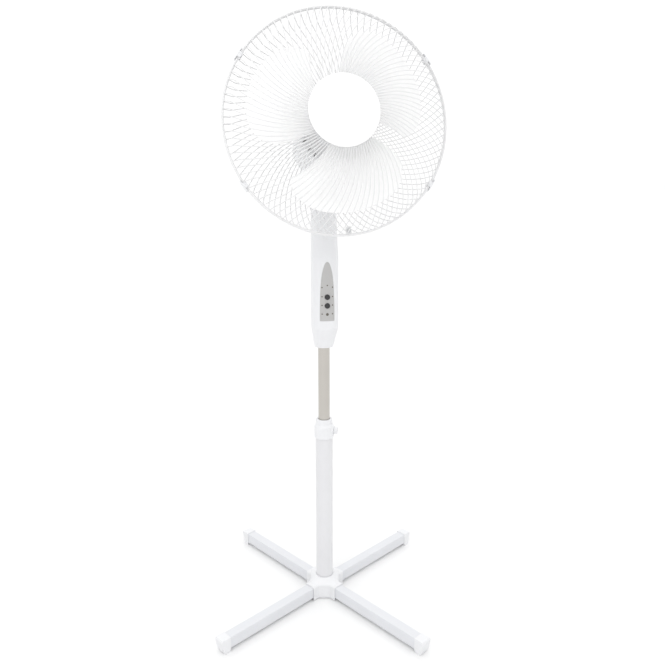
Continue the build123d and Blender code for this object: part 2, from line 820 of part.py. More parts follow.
def end_frame(inner_level, outer_level, bore):
    wall = frame_wall if outer_level > inner_level else -frame_wall
    turn(
        (bore, outer_level),
        (bore, outer_level - 3 * wall),
        (bore + 4, outer_level - 3 * wall),
        (bore + 4, outer_level - wall),
        (motor_radius - 6, outer_level - wall),
        (motor_radius - 2.5, outer_level - 2.5 * wall),
        (motor_radius - 2.5, inner_level),
        (motor_radius, inner_level),
        (motor_radius, outer_level - 2 * wall),
        (motor_radius - 5, outer_level),
    )


with BuildPart() as rear_frame:
    end_frame(stack_back, stack_back - frame_reach, bearing_radius)
    with BuildSketch(fan_plane.offset(stack_back - frame_reach - 1)) as frame_holes:
        with ring_of(4, bolt_circle, bolt_turn):
            Circle(bolt_radius)
    bar_on(fan_plane, frame_reach + 2, frame_holes.sketch, Mode.SUBTRACT)
save(rear_frame.part, "motor_frame_rear")

with BuildPart() as front_frame:
    end_frame(stack_front, stack_front + frame_reach, bearing_radius)
    with BuildSketch(fan_plane.offset(stack_front - 1)) as frame_holes:
        with ring_of(4, bolt_circle, bolt_turn):
            Circle(bolt_radius)
    bar_on(fan_plane, frame_reach + 2, frame_holes.sketch, Mode.SUBTRACT)
save(front_frame.part, "motor_frame_front")

stack_height = stack_front - stack_back
with BuildPart() as stator:
    with BuildSketch(fan_plane.offset(stack_back)) as lamination:
        Circle(motor_radius)
        Circle(rotor_radius + air_gap, mode=Mode.SUBTRACT)
        with ring_of(8, 0.5 * (motor_radius + rotor_radius) - 1):
            SlotOverall(14, 8, mode=Mode.SUBTRACT)
        with ring_of(4, bolt_circle, bolt_turn):
            Circle(bolt_radius, mode=Mode.SUBTRACT)
    bar_on(fan_plane, stack_height, lamination.sketch)
save(stator.part, "stator_core")

winding_reach = 9.0
with BuildPart() as windings:
    for level in (stack_back - winding_reach, stack_front + 0.2):
        turn(
            (rotor_radius + 3, level),
            (motor_radius - 9, level),
            (motor_radius - 9, level + winding_reach - 0.2),
            (rotor_radius + 3, level + winding_reach - 0.2),
        )
    with BuildSketch(fan_plane.offset(stack_back - 1)) as coils:
        with ring_of(8, 0.5 * (motor_radius + rotor_radius) - 1):
            SlotOverall(13, 7)
    bar_on(fan_plane, stack_height + 2, coils.sketch)
save(windings.part, "stator_windings")

bearing_length = 7.0
with BuildPart() as bearings:
    for level in (stack_back - frame_reach, stack_front + frame_reach - bearing_length):
        with BuildSketch(fan_plane.offset(level)) as ring:
            Circle(bearing_radius)
            Circle(shaft_radius + sliding_clearance, mode=Mode.SUBTRACT)
        bar_on(fan_plane, bearing_length, ring.sketch)
save(bearings.part, "shaft_bearings")

with BuildPart() as motor_bolts:
    with BuildSketch(fan_plane.offset(stack_back - frame_reach - 3)) as shanks:
        with ring_of(4, bolt_circle, bolt_turn):
            Circle(bolt_radius)
    bar_on(fan_plane, stack_height + 2 * frame_reach + 5, shanks.sketch)
    with BuildSketch(fan_plane.offset(stack_front + frame_reach + 0.1)) as heads:
        with ring_of(4, bolt_circle, bolt_turn):
            Circle(3.6)
    bar_on(fan_plane, 2.6, heads.sketch)
save(motor_bolts.part, "motor_bolts")

# Rotating group: rotor, shaft, worm and blade
shaft_front = blade_forward + blade_hub_depth / 2 + 12
with BuildPart() as shaft:
    with BuildSketch(fan_plane.offset(-case_span[1] + case_wall + 3)) as rod:
        Circle(shaft_radius)
    bar_on(fan_plane, shaft_front + case_span[1] - case_wall - 3, rod.sketch)
save(shaft.part, "motor_shaft")

with BuildPart() as rotor:
    with BuildSketch(fan_plane.offset(stack_back)) as rotor_stack:
        Circle(rotor_radius)
        Circle(shaft_radius, mode=Mode.SUBTRACT)
    bar_on(fan_plane, stack_height, rotor_stack.sketch)
    for level in (stack_back - 4, stack_front):
        with BuildSketch(fan_plane.offset(level)) as end_ring:
            Circle(rotor_radius - 1)
            Circle(rotor_radius - 8, mode=Mode.SUBTRACT)
        bar_on(fan_plane, 4, end_ring.sketch)
save(rotor.part, "rotor")

worm_middle = -crank_spot[1]
worm_half = 8.0
worm_turns = 5
worm_points = [(shaft_radius, worm_middle - worm_half)]
pitch = 2 * worm_half / worm_turns
for index in range(worm_turns):
    level = worm_middle - worm_half + index * pitch
    worm_points += [(worm_radius, level + 0.2 * pitch), (worm_radius, level + 0.5 * pitch)]
    worm_points += [(worm_radius - 0.6, level + 0.7 * pitch), (worm_radius - 0.6, level + pitch)]
worm_points += [(shaft_radius, worm_middle + worm_half)]
with BuildPart() as worm:
    turn(*worm_points)
save(worm.part, "worm")

# Blade: a cupped hub with three wide petals, held by a spinner nut
hub_back = blade_forward - blade_hub_depth / 2
hub_front = blade_forward + blade_hub_depth / 2
hub_skin = 2.5

# Petal outline: distance out as a share of the tip's, and degrees round from the petal's middle
petal_outline = (
    (0.48, -37),
    (0.8, -47),
    (0.93, -38),
    (0.987, -24),
    (1.0, 0),
    (0.987, 25),
    (0.926, 37),
    (0.8, 45),
    (0.494, 51),
)
with BuildPart() as blade:
    turn(
        (shaft_radius + 4, hub_back),
        (shaft_radius + 4, hub_front - hub_skin),
        (blade_hub_radius - hub_skin, hub_front - hub_skin - 3),
        (blade_hub_radius - hub_skin, hub_back),
        (blade_hub_radius, hub_back),
        (blade_hub_radius, hub_front - 5),
        (blade_hub_radius - 5, hub_front),
        (shaft_radius + sliding_clearance / 2, hub_front),
        (shaft_radius + sliding_clearance / 2, hub_back),
    )
    for index in range(3):
        turned = radians(37 + 120 * index)
        radial = fan_plane.x_dir * cos(turned) + fan_plane.y_dir * sin(turned)
        chord = fan_plane.y_dir * cos(turned) - fan_plane.x_dir * sin(turned)
        pitched = chord * cos(radians(blade_pitch)) + ahead * sin(radians(blade_pitch))
        centre = fan_plane.origin + ahead * (blade_forward - blade_thickness / 2)
        petal_plane = Plane(centre, x_dir=radial, z_dir=radial.cross(pitched))
        petal_points = [
            (blade_tip * share * cos(radians(swing)), blade_tip * share * sin(radians(swing)))
            for share, swing in petal_outline
        ]
        with BuildSketch(petal_plane):
            with BuildLine():
                Spline(*petal_points)
                Polyline(petal_points[-1], (20, 24), (20, -24), petal_points[0])
            make_face()
        extrude(amount=blade_thickness)
    with BuildSketch(fan_plane.offset(hub_back - 30)) as hollow:
        Circle(blade_hub_radius - hub_skin - 0.01)
        Circle(shaft_radius + 4, mode=Mode.SUBTRACT)
    bar_on(fan_plane, blade_hub_depth + 24, hollow.sketch, Mode.SUBTRACT)
save(blade.part, "blade")

with BuildPart() as spinner:
    turn(
        (shaft_radius, hub_front + 0.1),
        (17, hub_front + 0.1),
        (17, hub_front + 4),
        (12, hub_front + 15),
        (8, hub_front + 17),
        (0, hub_front + 17),
        (0, shaft_front),
        (shaft_radius, shaft_front),
    )
save(spinner.part, "spinner_nut")

# Motor covers
face_level = motor_front
collar_outer = 16.0
cover_inner = motor_cover_radius - motor_cover_wall
with BuildPart() as cover_front:
    turn(
        (motor_cover_radius, cover_split),
        (motor_cover_radius, face_level - 12),
        (motor_cover_radius - 3, face_level - 4),
        (motor_cover_radius - 8, face_level),
        (collar_outer, face_level),
        (collar_outer, face_level + 12),
        (collar_outer - 3, face_level + 12),
        (collar_outer - 3, face_level - motor_cover_wall),
        (cover_inner - 8, face_level - motor_cover_wall),
        (cover_inner - 2, face_level - 6),
        (cover_inner, face_level - 12),
        (cover_inner, cover_split),
    )
    with BuildSketch(fan_plane.offset(face_level - 8)) as vents:
        with ring_of(20, 50.5):
            SlotOverall(9, 3, rotation=0)
    bar_on(fan_plane, 16, vents.sketch, Mode.SUBTRACT)
save(cover_front.part, "motor_cover_front")

with BuildPart() as cover_rear:
    turn(
        (motor_cover_radius, cover_split - 0.1),
        (motor_cover_radius, -20),
        (motor_cover_radius - 3, -38),
        (motor_cover_radius - 13, motor_back + 2),
        (motor_cover_radius - 18, motor_back),
        (0, motor_back - 2),
        (0, motor_back - 2 + motor_cover_wall),
        (cover_inner - 18, motor_back + motor_cover_wall),
        (cover_inner - 12, motor_back + 2 + motor_cover_wall),
        (cover_inner - 3, -37),
        (cover_inner, -20),
        (cover_inner, cover_split - 0.1),
    )
    with BuildSketch(head_plane.offset(10)) as neck_gap:
        Circle(platform_radius - 1)
    bar_on(head_plane, socket_top - 10, neck_gap.sketch, Mode.SUBTRACT)
    with BuildSketch(head_plane.offset(case_top + 8)) as stem_gap:
        with Locations(crank_spot):
            Circle(knob_stem_radius + part_clearance)
    bar_on(head_plane, 60, stem_gap.sketch, Mode.SUBTRACT)
    with BuildSketch(fan_plane.offset(motor_back + 8)) as rear_vents:
        for level in range(-3, 4):
            with Locations((0, 7 * level)):
                SlotOverall(34 - 2 * abs(level), 3)
    bar_on(fan_plane, -20, rear_vents.sketch, Mode.SUBTRACT)
save(cover_rear.part, "motor_cover_rear")


# Guards: fine curved wires welded to rings, front and rear swirled opposite ways
def on_fan(radius, turned, forward):
    angle = radians(turned)
    return fan_plane.from_local_coords(Vector(radius * cos(angle), radius * sin(angle), forward))


def wire_points(ring_radius, ring_level, rim_level, depth, swirl):
    """Points of one wire from its hub ring out over the dome to the rim."""
    points = []
    for share in (0.0, 0.2, 0.42, 0.64, 0.82, 0.94, 1.0):
        radius = ring_radius + share * (guard_radius - ring_radius)
        dome = (1 - (radius / guard_radius) ** 3) ** 0.5
        start = (1 - (ring_radius / guard_radius) ** 3) ** 0.5
        forward = rim_level + (ring_level - rim_level) * dome / start
        points.append(on_fan(radius, swirl * (1 - share), forward))
    return points


def guard_wires(points):
    """One swept wire, then its copies round the fan's axis, each a solid of its own."""
    with BuildPart() as wire:
        with BuildLine() as path:
            Spline(*points)
        with BuildSketch(Plane(path.line @ 0, z_dir=path.line % 0)):
            Circle(guard_wire)
        sweep()
    step = 360 / wire_count
    first = wire.part.solid()
    copies = [Solid(first.rotate(fan_axis, step * n).wrapped) for n in range(wire_count)]
    return Compound(children=copies)


def ring_wire(radius, level, thickness):
    with BuildPart() as ring:
        with BuildSketch(profile_plane) as section:
            with Locations((radius, level)):
                Circle(thickness)
        revolve(section.sketch, axis=fan_axis)
    return ring.part


front_rim_level = rim_forward + rim_wire + 0.1
rear_rim_level = rim_forward - rim_wire - 0.1
front_ring_level = front_rim_level + front_depth
rear_ring_level = motor_front + 3.5
front_points = wire_points(front_ring_radius, front_ring_level, front_rim_level, front_depth, wire_swirl)
rear_points = wire_points(rear_ring_radius, rear_ring_level, rear_rim_level, rear_depth, -wire_swirl)
save(guard_wires(front_points), "front_guard_wires")
save(guard_wires(rear_points), "rear_guard_wires")

# Rims: each has a drilled lug welded to its inner side near the bottom
lug_turn = -86.25
lug_centre = guard_radius - 8
lug_half = 1.0
lug_spot = (lug_centre * cos(radians(lug_turn)), lug_centre * sin(radians(lug_turn)))
clamp_screw_radius = 2.0


def rim_with_lug(level):
    with BuildPart() as rim:
        with BuildSketch(profile_plane) as section:
            with Locations((guard_radius, level)):
                Circle(rim_wire)
        revolve(section.sketch, axis=fan_axis)
        with BuildSketch(fan_plane.offset(level - lug_half)) as lug:
            with Locations(lug_spot):
                RectangleRounded(14, 9, 2, rotation=lug_turn)
                Circle(clamp_screw_radius + 0.1, mode=Mode.SUBTRACT)
        bar_on(fan_plane, 2 * lug_half, lug.sketch)
    return rim.part


front_hub_ring = ring_wire(front_ring_radius, front_ring_level, 1.5)
save(Compound(children=[rim_with_lug(front_rim_level), front_hub_ring]), "front_guard_rings")
save(rim_with_lug(rear_rim_level), "rear_guard_rim")

plate_back = motor_front + 0.2
with BuildPart() as guard_plate:
    turn(
        (collar_outer + sliding_clearance, plate_back),
        (rear_ring_radius + 2, plate_back),
        (rear_ring_radius + 2, plate_back + 5),
        (rear_ring_radius - 1, plate_back + 5),
        (rear_ring_radius - 3, plate_back + 1.6),
        (collar_outer + sliding_clearance, plate_back + 1.6),
    )
save(guard_plate.part, "rear_guard_plate")

with BuildPart() as guard_nut:
    turn(
        (collar_outer + sliding_clearance, plate_back + 1.7),
        (30, plate_back + 1.7),
        (30, plate_back + 4),
        (24, plate_back + 9),
        (collar_outer + sliding_clearance, plate_back + 9),
    )
    with BuildSketch(fan_plane.offset(plate_back + 3)) as grips:
        with ring_of(12, 31):
            Circle(3)
    bar_on(fan_plane, 8, grips.sketch, Mode.SUBTRACT)
save(guard_nut.part, "guard_nut")

# Plain badge disc on the front guard, with the plate that clamps it from behind
badge_back = front_ring_level + 1.7
with BuildPart() as badge:
    turn(
        (0, badge_back),
        (badge_radius, badge_back),
        (badge_radius, badge_back + 1.5),
        (badge_radius - 3, badge_back + 3),
        (badge_radius * 0.6, badge_back + 3 + 0.55 * badge_rise),
        (badge_radius * 0.3, badge_back + 3 + 0.9 * badge_rise),
        (0, badge_back + 3 + badge_rise),
    )
save(badge.part, "badge_disc")

clamp_front = front_ring_level - 1.7
with BuildPart() as clamp:
    turn(
        (30, clamp_front - 2),
        (front_ring_radius - 3, clamp_front - 2),
        (front_ring_radius - 3, clamp_front + 2),
        (front_ring_radius - 5, clamp_front + 2),
        (front_ring_radius - 5, clamp_front),
        (30, clamp_front),
    )
    with BuildSketch(fan_plane.offset(clamp_front)) as pillars:
        with ring_of(3, 38, 90):
            Circle(3.5)
    bar_on(fan_plane, badge_back - clamp_front, pillars.sketch)
save(clamp.part, "badge_clamp")

# Snap clips over both rims, each between two wires
clip_angles = (33.75, 146.25, 213.75, 326.25)
clip_half = 5.0
clip_back_half = 11.0
clip_wall = 1.8
clip_in = guard_radius - 4
clip_out = guard_radius + rim_wire + 0.1
clip_gap = 4 * rim_wire + 0.6
with BuildPart() as clips:
    for turned in clip_angles:
        radial = fan_plane.x_dir * cos(radians(turned)) + fan_plane.y_dir * sin(radians(turned))
        around = radial.cross(ahead)
        clip_plane = Plane(fan_plane.origin, x_dir=radial, z_dir=around)
        clip_tall = clip_gap + 2 * clip_wall
        with BuildSketch(clip_plane) as hook_section:
            with Locations(((clip_in + clip_out + clip_wall) / 2, rim_forward)):
                RectangleRounded(clip_out + clip_wall - clip_in, clip_tall, 0.8)
            with Locations(((clip_in + clip_out) / 2 - 1, rim_forward)):
                Rectangle(clip_out - clip_in + 2, clip_gap, mode=Mode.SUBTRACT)
        extrude(hook_section.sketch, amount=clip_half, both=True)
        with BuildSketch(clip_plane) as back_section:
            with Locations((clip_out + clip_wall / 2, rim_forward)):
                RectangleRounded(clip_wall, clip_tall, 0.6)
        extrude(back_section.sketch, amount=clip_back_half, both=True)
save(clips.part, "guard_clips")

# Clamp screw and nut through the two lugs, with all that is between head and nut
head_level = front_rim_level + lug_half
nut_level = rear_rim_level - lug_half
screw_lengths = (
    (nut_level - 4, head_level - nut_level + 4.1, clamp_screw_radius),
    (head_level + 0.05, 2.4, 4),
    (nut_level - 3.05, 3, 3.6),
)
with BuildPart() as guard_screw:
    for start, length, radius in screw_lengths:
        with BuildSketch(fan_plane.offset(start)) as round_bar:
            with Locations(lug_spot):
                Circle(radius)
        bar_on(fan_plane, length, round_bar.sketch)
save(guard_screw.part, "guard_screw")

# Blank rating plate on the front of the motor cover
with BuildPart() as rating_plate:
    with BuildSketch(fan_plane.offset(motor_front)) as plate_shape:
        with Locations((-27, -27)):
            RectangleRounded(24, 15, 1.5, rotation=-45)
    bar_on(fan_plane, 0.15, plate_shape.sketch)
save(rating_plate.part, "rating_plate")
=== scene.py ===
import json
from math import cos, pi, radians, sin

import bmesh
import bpy
from mathutils import Matrix, Vector


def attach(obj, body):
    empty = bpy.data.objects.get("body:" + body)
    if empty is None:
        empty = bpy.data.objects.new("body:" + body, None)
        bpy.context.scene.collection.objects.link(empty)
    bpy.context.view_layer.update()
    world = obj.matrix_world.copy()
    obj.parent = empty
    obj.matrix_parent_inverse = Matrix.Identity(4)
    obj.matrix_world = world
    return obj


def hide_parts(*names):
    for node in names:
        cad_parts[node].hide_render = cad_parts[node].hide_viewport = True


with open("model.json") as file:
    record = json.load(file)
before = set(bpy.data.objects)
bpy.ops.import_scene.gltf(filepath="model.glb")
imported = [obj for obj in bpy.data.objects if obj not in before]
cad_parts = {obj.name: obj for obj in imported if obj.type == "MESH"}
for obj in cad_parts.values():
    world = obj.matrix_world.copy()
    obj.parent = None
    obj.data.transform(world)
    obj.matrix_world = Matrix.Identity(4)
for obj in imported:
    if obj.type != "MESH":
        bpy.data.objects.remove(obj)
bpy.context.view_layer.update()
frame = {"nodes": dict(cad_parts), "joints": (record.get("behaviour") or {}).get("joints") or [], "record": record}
slotOf = {row["node"]: row["material_slot"] for row in frame["record"]["subparts"]}
jointOf = {row["name"]: row for row in frame["joints"]}

# the fan's own axes: the blade's hinge gives its line, the swing hinge gives its up
fanStart = Vector(jointOf["blade_turn"]["pos_m"])
fanAhead = Vector(jointOf["blade_turn"]["axis"]).normalized()
fanUp = Vector(jointOf["head_swing"]["axis"]).normalized()
fanSide = fanUp.cross(fanAhead).normalized()
fanMatrix = Matrix((fanSide, fanUp, fanAhead)).transposed().to_4x4()
fanMatrix.translation = fanStart


# camera, floor and light
view = {"place": (-0.2328, -1.3432, 0.9661), "turn": -10.61, "down": 14.04, "lens": 35.73}
camera = bpy.data.objects.new("camera", bpy.data.cameras.new("camera"))
camera.data.lens = view["lens"]
camera.data.sensor_width = 36
camera.location = view["place"]
camera.rotation_euler = (radians(90 - view["down"]), 0, radians(view["turn"]))
bpy.context.scene.collection.objects.link(camera)
bpy.context.scene.camera = camera
bpy.context.scene.view_settings.view_transform = "Standard"

studio = {
    "front": 1.06,  # brightness of the studio ahead and behind
    "leftSide": 0.5,
    "rightSide": 0.2,
    "overhead": 1.42,
    "bands": (  # from the left, 0, to the right, 1
        (0, "leftSide"),
        (0.12, "leftSide"),
        (0.25, "front"),
        (0.84, "front"),
        (0.92, "rightSide"),
        (1, "rightSide"),
    ),
    "heights": ((0.32, 0.55), (0.55, 0.8)),  # start and end of the sides, then of overhead
    "keyPlace": (-1.0, -1.9, 2.1),
    "keyAim": (0, 0, 0.7),
    "keyPower": 7,
    "keySize": 1.0,
    "floorSize": 80,
}


def addLight(name, place, aim, power, size):
    lamp = bpy.data.lights.new(name, "AREA")
    lamp.energy = power
    lamp.size = size
    lampObject = bpy.data.objects.new(name, lamp)
    lampObject.location = place
    lampObject.rotation_euler = (Vector(aim) - Vector(place)).to_track_quat("-Z", "Y").to_euler()
    bpy.context.scene.collection.objects.link(lampObject)


def makeStudio():
    # a white studio, brighter overhead and dimmer to the left and right
    world = bpy.data.worlds.new("studio")
    world.use_nodes = True
    nodes = world.node_tree.nodes
    links = world.node_tree.links
    toward = nodes.new("ShaderNodeTexCoord")
    split = nodes.new("ShaderNodeSeparateXYZ")
    links.new(toward.outputs["Generated"], split.inputs["Vector"])
    sideways = nodes.new("ShaderNodeValToRGB")
    place = nodes.new("ShaderNodeMapRange")
    place.inputs["From Min"].default_value = -1
    links.new(split.outputs["X"], place.inputs["Value"])
    links.new(place.outputs["Result"], sideways.inputs["Fac"])
    marks = sideways.color_ramp.elements
    while len(marks) < len(studio["bands"]):
        marks.new(0.5)
    for mark, (spot, level) in zip(marks, studio["bands"]):
        mark.position = spot
        mark.color = [studio[level] / studio["overhead"]] * 3 + [1]
    level = studio["front"] / studio["overhead"]
    lower = nodes.new("ShaderNodeMix")
    upper = nodes.new("ShaderNodeMix")
    for mixed, (start, end) in zip((lower, upper), studio["heights"]):
        height = nodes.new("ShaderNodeMapRange")
        height.interpolation_type = "SMOOTHSTEP"
        height.inputs["From Min"].default_value = start
        height.inputs["From Max"].default_value = end
        links.new(split.outputs["Z"], height.inputs["Value"])
        mixed.data_type = "RGBA"
        links.new(height.outputs["Result"], mixed.inputs["Factor"])
    lower.inputs[6].default_value = (level, level, level, 1)  # the horizon is the same all round
    links.new(sideways.outputs["Color"], lower.inputs[7])
    links.new(lower.outputs[2], upper.inputs[6])
    upper.inputs[7].default_value = (1, 1, 1, 1)
    links.new(upper.outputs[2], nodes["Background"].inputs["Color"])
    nodes["Background"].inputs["Strength"].default_value = studio["overhead"]
    bpy.context.scene.world = world


addLight("keyLight", studio["keyPlace"], studio["keyAim"], studio["keyPower"], studio["keySize"])
makeStudio()
print("studio ready")


# materials: every finish is a Principled shader with noise for its colour, roughness and bump
finishes = {
    # bump is the depth in millimetres, grain the noise scale per metre
    "white_tube": dict(
        color=(0.715, 0.715, 0.73), spread=0.012,
        rough=0.32, roughSpread=0.08, bump=0.05, grain=900,
    ),
    "white_bar": dict(
        color=(0.70, 0.71, 0.735), spread=0.014,
        rough=0.36, roughSpread=0.08, bump=0.06, grain=800,
    ),
    "white_plastic": dict(
        color=(0.775, 0.78, 0.795), spread=0.010,
        rough=0.38, roughSpread=0.07, bump=0.03, grain=1600,
    ),
    "natural_plastic": dict(
        color=(0.72, 0.71, 0.66), spread=0.02,
        rough=0.5, roughSpread=0.08, bump=0.03, grain=900,
    ),
    "grey_panel": dict(
        color=(0.485, 0.48, 0.475), spread=0.05,
        rough=0.42, roughSpread=0.1, bump=0.02, grain=3500, metal=0.35,
    ),
    "dark_button": dict(
        color=(0.028, 0.028, 0.03), spread=0.1,
        rough=0.42, roughSpread=0.1, bump=0.02, grain=2500,
    ),
    "board_green": dict(
        color=(0.02, 0.14, 0.05), spread=0.1,
        rough=0.4, roughSpread=0.1, bump=0.02, grain=900,
    ),
    "clear_lens": dict(
        color=(0.13, 0.12, 0.10), spread=0.05,
        rough=0.18, roughSpread=0.06, bump=0.01, grain=900,
    ),
    "black_plastic": dict(
        color=(0.02, 0.02, 0.02), spread=0.1,
        rough=0.45, roughSpread=0.1, bump=0.03, grain=1500,
    ),
    "zinc_steel": dict(
        color=(0.6, 0.61, 0.62), spread=0.06,
        rough=0.3, roughSpread=0.12, bump=0.02, grain=1200, metal=1,
    ),
    "cast_aluminium": dict(
        color=(0.62, 0.62, 0.63), spread=0.08,
        rough=0.5, roughSpread=0.12, bump=0.12, grain=700, metal=1,
    ),
    "core_steel": dict(
        color=(0.2, 0.2, 0.21), spread=0.1,
        rough=0.5, roughSpread=0.1, bump=0.05, grain=900, metal=1,
    ),
    "copper_wire": dict(
        color=(0.55, 0.22, 0.08), spread=0.15,
        rough=0.35, roughSpread=0.1, bump=0.15, grain=500, metal=1,
    ),
    "bearing_bronze": dict(
        color=(0.45, 0.3, 0.12), spread=0.1,
        rough=0.4, roughSpread=0.1, bump=0.03, grain=900, metal=1,
    ),
    "white_wire": dict(
        color=(0.78, 0.78, 0.785), spread=0.012,
        rough=0.34, roughSpread=0.08, bump=0.02, grain=700,
    ),
    "blade_plastic": dict(
        color=(0.945, 0.945, 0.945), spread=0.008,
        rough=0.22, roughSpread=0.05, bump=0.02, grain=300,
    ),
    "badge_plastic": dict(
        color=(0.90, 0.90, 0.90), spread=0.006,
        rough=0.25, roughSpread=0.05, bump=0.01, grain=500,
    ),
    "plate_grey": dict(
        color=(0.07, 0.07, 0.075), spread=0.1,
        rough=0.5, roughSpread=0.1, bump=0.01, grain=1200,
    ),
}


def makeFinish(name, color, spread, rough, roughSpread, bump, grain, metal=0.0):
    material = bpy.data.materials.new(name)
    material.use_nodes = True
    nodes = material.node_tree.nodes
    links = material.node_tree.links
    shader = nodes["Principled BSDF"]
    shader.inputs["Metallic"].default_value = metal
    place = nodes.new("ShaderNodeTexCoord")
    cloud = nodes.new("ShaderNodeTexNoise")
    cloud.inputs["Scale"].default_value = 14
    cloud.inputs["Detail"].default_value = 4
    fine = nodes.new("ShaderNodeTexNoise")
    fine.inputs["Scale"].default_value = grain
    fine.inputs["Detail"].default_value = 2
    links.new(place.outputs["Object"], cloud.inputs["Vector"])
    links.new(place.outputs["Object"], fine.inputs["Vector"])
    ramp = nodes.new("ShaderNodeValToRGB")
    ramp.color_ramp.elements[0].position = 0.3
    ramp.color_ramp.elements[1].position = 0.7
    ramp.color_ramp.elements[0].color = [c * (1 - spread) for c in color] + [1]
    ramp.color_ramp.elements[1].color = [min(1, c * (1 + spread)) for c in color] + [1]
    links.new(cloud.outputs["Fac"], ramp.inputs["Fac"])
    links.new(ramp.outputs["Color"], shader.inputs["Base Color"])
    polish = nodes.new("ShaderNodeMapRange")
    polish.inputs["To Min"].default_value = rough - roughSpread
    polish.inputs["To Max"].default_value = rough + roughSpread
    links.new(fine.outputs["Fac"], polish.inputs["Value"])
    links.new(polish.outputs["Result"], shader.inputs["Roughness"])
    relief = nodes.new("ShaderNodeBump")
    relief.inputs["Strength"].default_value = 0.5
    relief.inputs["Distance"].default_value = bump / 1000
    links.new(fine.outputs["Fac"], relief.inputs["Height"])
    links.new(relief.outputs["Normal"], shader.inputs["Normal"])
    return material


def makeDrawnChrome(name):
    # plated tube: fine rings round the tube from drawing and sliding
    material = makeFinish(name, (0.55, 0.525, 0.49), 0.03, 0.2, 0.1, 0.008, 900, metal=1)
    nodes = material.node_tree.nodes
    links = material.node_tree.links
    stretch = nodes.new("ShaderNodeMapping")
    stretch.inputs["Scale"].default_value = (12, 12, 900)
    rings = nodes.new("ShaderNodeTexNoise")
    rings.inputs["Scale"].default_value = 3
    polish = nodes["Map Range"]
    links.new(nodes["Texture Coordinate"].outputs["Object"], stretch.inputs["Vector"])
    links.new(stretch.outputs["Vector"], rings.inputs["Vector"])
    links.new(rings.outputs["Fac"], polish.inputs["Value"])
    return material


materials = {name: makeFinish(name, **facts) for name, facts in finishes.items()}
materials["chrome_tube"] = makeDrawnChrome("chrome_tube")
for node, slotName in slotOf.items():
    cadObject = frame["nodes"][node]
    cadObject.data.materials.clear()
    cadObject.data.materials.append(materials[slotName])
print("materials", len(materials))


def addPiece(name, mesh, body, slotName, *replaced):
    piece = bpy.data.objects.new(name, mesh)
    bpy.context.scene.collection.objects.link(piece)
    piece.data.materials.clear()
    piece.data.materials.append(materials[slotName])
    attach(piece, body)
    if replaced:
        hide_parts(*replaced)
    return piece


def bakeModifiers(piece):
    bpy.context.view_layer.update()
    depsgraph = bpy.context.evaluated_depsgraph_get()
    mesh = bpy.data.meshes.new_from_object(piece.evaluated_get(depsgraph))
    piece.modifiers.clear()
    piece.data = mesh
    return mesh


# moulded covers: the CAD form remeshed finely, so that its edges turn with a small radius
moulded = {
    "hub_cover": dict(voxel=0.8, passes=8, body="root"),
    "end_cap_1": dict(voxel=0.5, passes=5, body="root"),
    "end_cap_2": dict(voxel=0.5, passes=5, body="root"),
    "end_cap_3": dict(voxel=0.5, passes=5, body="root"),
    "end_cap_4": dict(voxel=0.5, passes=5, body="root"),
    "height_collar": dict(voxel=0.6, passes=4, body="root"),
    "clamp_knob": dict(voxel=0.35, passes=3, body="clamp_knob"),
    "housing_front": dict(voxel=1.1, passes=4, body="upper_stand"),
    "housing_rear": dict(voxel=1.1, passes=4, body="upper_stand"),
    "neck_bracket": dict(voxel=0.8, passes=4, body="upper_stand"),
    "tilt_knob": dict(voxel=0.5, passes=3, body="tilt_knob"),
    "motor_cover_front": dict(voxel=0.9, passes=2, body="head"),
    "motor_cover_rear": dict(voxel=1.1, passes=2, body="head"),
    "guard_nut": dict(voxel=0.6, passes=4, body="head"),
    "swing_knob": dict(voxel=0.5, passes=3, body="swing_knob"),
}


def mouldPiece(node, voxel, passes, body):
    mesh = frame["nodes"][node].data.copy()
    merged = bmesh.new()
    merged.from_mesh(mesh)
    bmesh.ops.remove_doubles(merged, verts=merged.verts, dist=1e-6)
    merged.to_mesh(mesh)
    merged.free()
    piece = bpy.data.objects.new(node + "_moulded", mesh)
    bpy.context.scene.collection.objects.link(piece)
    remesh = piece.modifiers.new("remesh", "REMESH")
    remesh.mode = "VOXEL"
    remesh.voxel_size = voxel / 1000 * 1
    smooth = piece.modifiers.new("smooth", "SMOOTH")
    smooth.factor = 0.5
    smooth.iterations = passes
    bakeModifiers(piece)
    piece.data.polygons.foreach_set("use_smooth", [True] * len(piece.data.polygons))
    piece.data.materials.clear()
    piece.data.materials.append(materials[slotOf[node]])
    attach(piece, body)
    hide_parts(node)


for node, facts in moulded.items():
    mouldPiece(node, **facts)
print("moulded covers", len(moulded))


# guard wires: one wire bent over the dome and swept to the rim, repeated round the fan's axis
guards = {
    "frontGuardWires": dict(node="front_guard_wires", ring=55, ringLevel=232.5, rimLevel=170.5, swirl=27),
    "rearGuardWires": dict(node="rear_guard_wires", ring=47, ringLevel=106.5, rimLevel=166.3, swirl=-27),
}
guardWire = dict(count=96, rim=200, radius=0.9, steps=14, sides=6)


def addSocket(tree, name, kind, value):
    socket = tree.interface.new_socket(name, in_out="INPUT", socket_type=kind)
    socket.default_value = value


def mathNode(tree, operation, first, second=None):
    node = tree.nodes.new("ShaderNodeMath")
    node.operation = operation
    for place, value in enumerate((first, second)):
        if value is None:
            continue
        if isinstance(value, (int, float)):
            node.inputs[place].default_value = value
        else:
            tree.links.new(value, node.inputs[place])
    return node.outputs[0]


